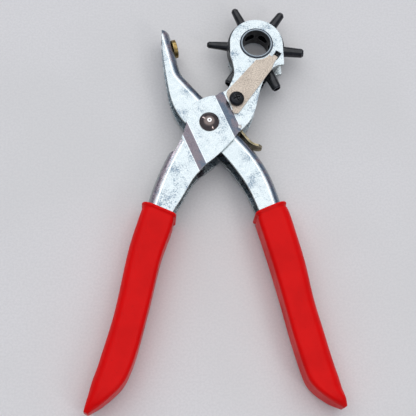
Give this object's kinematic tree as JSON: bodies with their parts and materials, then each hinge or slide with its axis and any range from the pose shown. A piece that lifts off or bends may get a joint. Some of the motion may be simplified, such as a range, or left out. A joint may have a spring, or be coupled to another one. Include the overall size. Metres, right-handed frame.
{
  "type": "rotary hole punch",
  "caption": "Plier-type leather punch with a turning wheel of round punch tubes, a brass anvil, red dipped grips and a latch.",
  "frame": {"origin": "pivot axis, at the flat tail of the pivot rivet, which is the surface the tool lies on", "axes": "+Z along the pivot towards the rivet's domed head, +Y up the tool from the grips to the punch wheel, +X towards the wheel's side"},
  "size_m": [0.1329, 0.2303, 0.0221],
  "materials": {
    "zinc_steel": "bright zinc plated sheet",
    "polished_steel": "nickel plated, polished",
    "spring_steel": "drawn wire",
    "brass": "turned",
    "black_steel": "black oxide, oiled",
    "tan_spring": "pale yellow passivated spring strip",
    "bronze_strip": "yellow zinc, dulled",
    "red_vinyl": "dipped PVC, semi-gloss"
  },
  "bodies": {
    "punch_arm": {"punch_lever": "zinc_steel", "pivot_rivet": "polished_steel", "pivot_bush": "zinc_steel", "head_standoff": "zinc_steel", "index_screw": "black_steel", "index_spring": "tan_spring", "opening_spring": "spring_steel", "latch_pin": "zinc_steel", "grip_left": "red_vinyl"},
    "anvil_arm": {"anvil_lever": "zinc_steel", "anvil": "brass", "grip_right": "red_vinyl"},
    "wheel": {"punch_wheel": "black_steel", "punch_tube_20": "black_steel", "punch_tube_25": "black_steel", "punch_tube_30": "black_steel", "punch_tube_35": "black_steel", "punch_tube_40": "black_steel", "punch_tube_45": "black_steel"},
    "latch": {"latch": "bronze_strip"}
  },
  "joints": [
    {"name": "lever_pivot", "type": "hinge", "parent": "punch_arm", "child": "anvil_arm", "pos_m": [0, 0, 0.0102], "axis": [0, 0, 1], "range_deg": [-19.4, 0], "stiffness_Nm_per_rad": 0.4, "springref_deg": 20.05, "deforming": ["opening_spring"]},
    {"name": "wheel_spin", "type": "hinge", "parent": "punch_arm", "child": "wheel", "pos_m": [0.0279, 0.049, 0.0102], "axis": [0, 0, 1], "continuous": true, "deforming": ["index_spring"]},
    {"name": "latch_swing", "type": "hinge", "parent": "punch_arm", "child": "latch", "pos_m": [0.0169, -0.0019, 0.0102], "axis": [0, 0, 1], "range_deg": [-40.74, 0]}
  ],
  "couplings": [
    {"joint": "latch_swing", "follows": "lever_pivot", "ratio": 2.1}
  ]
}
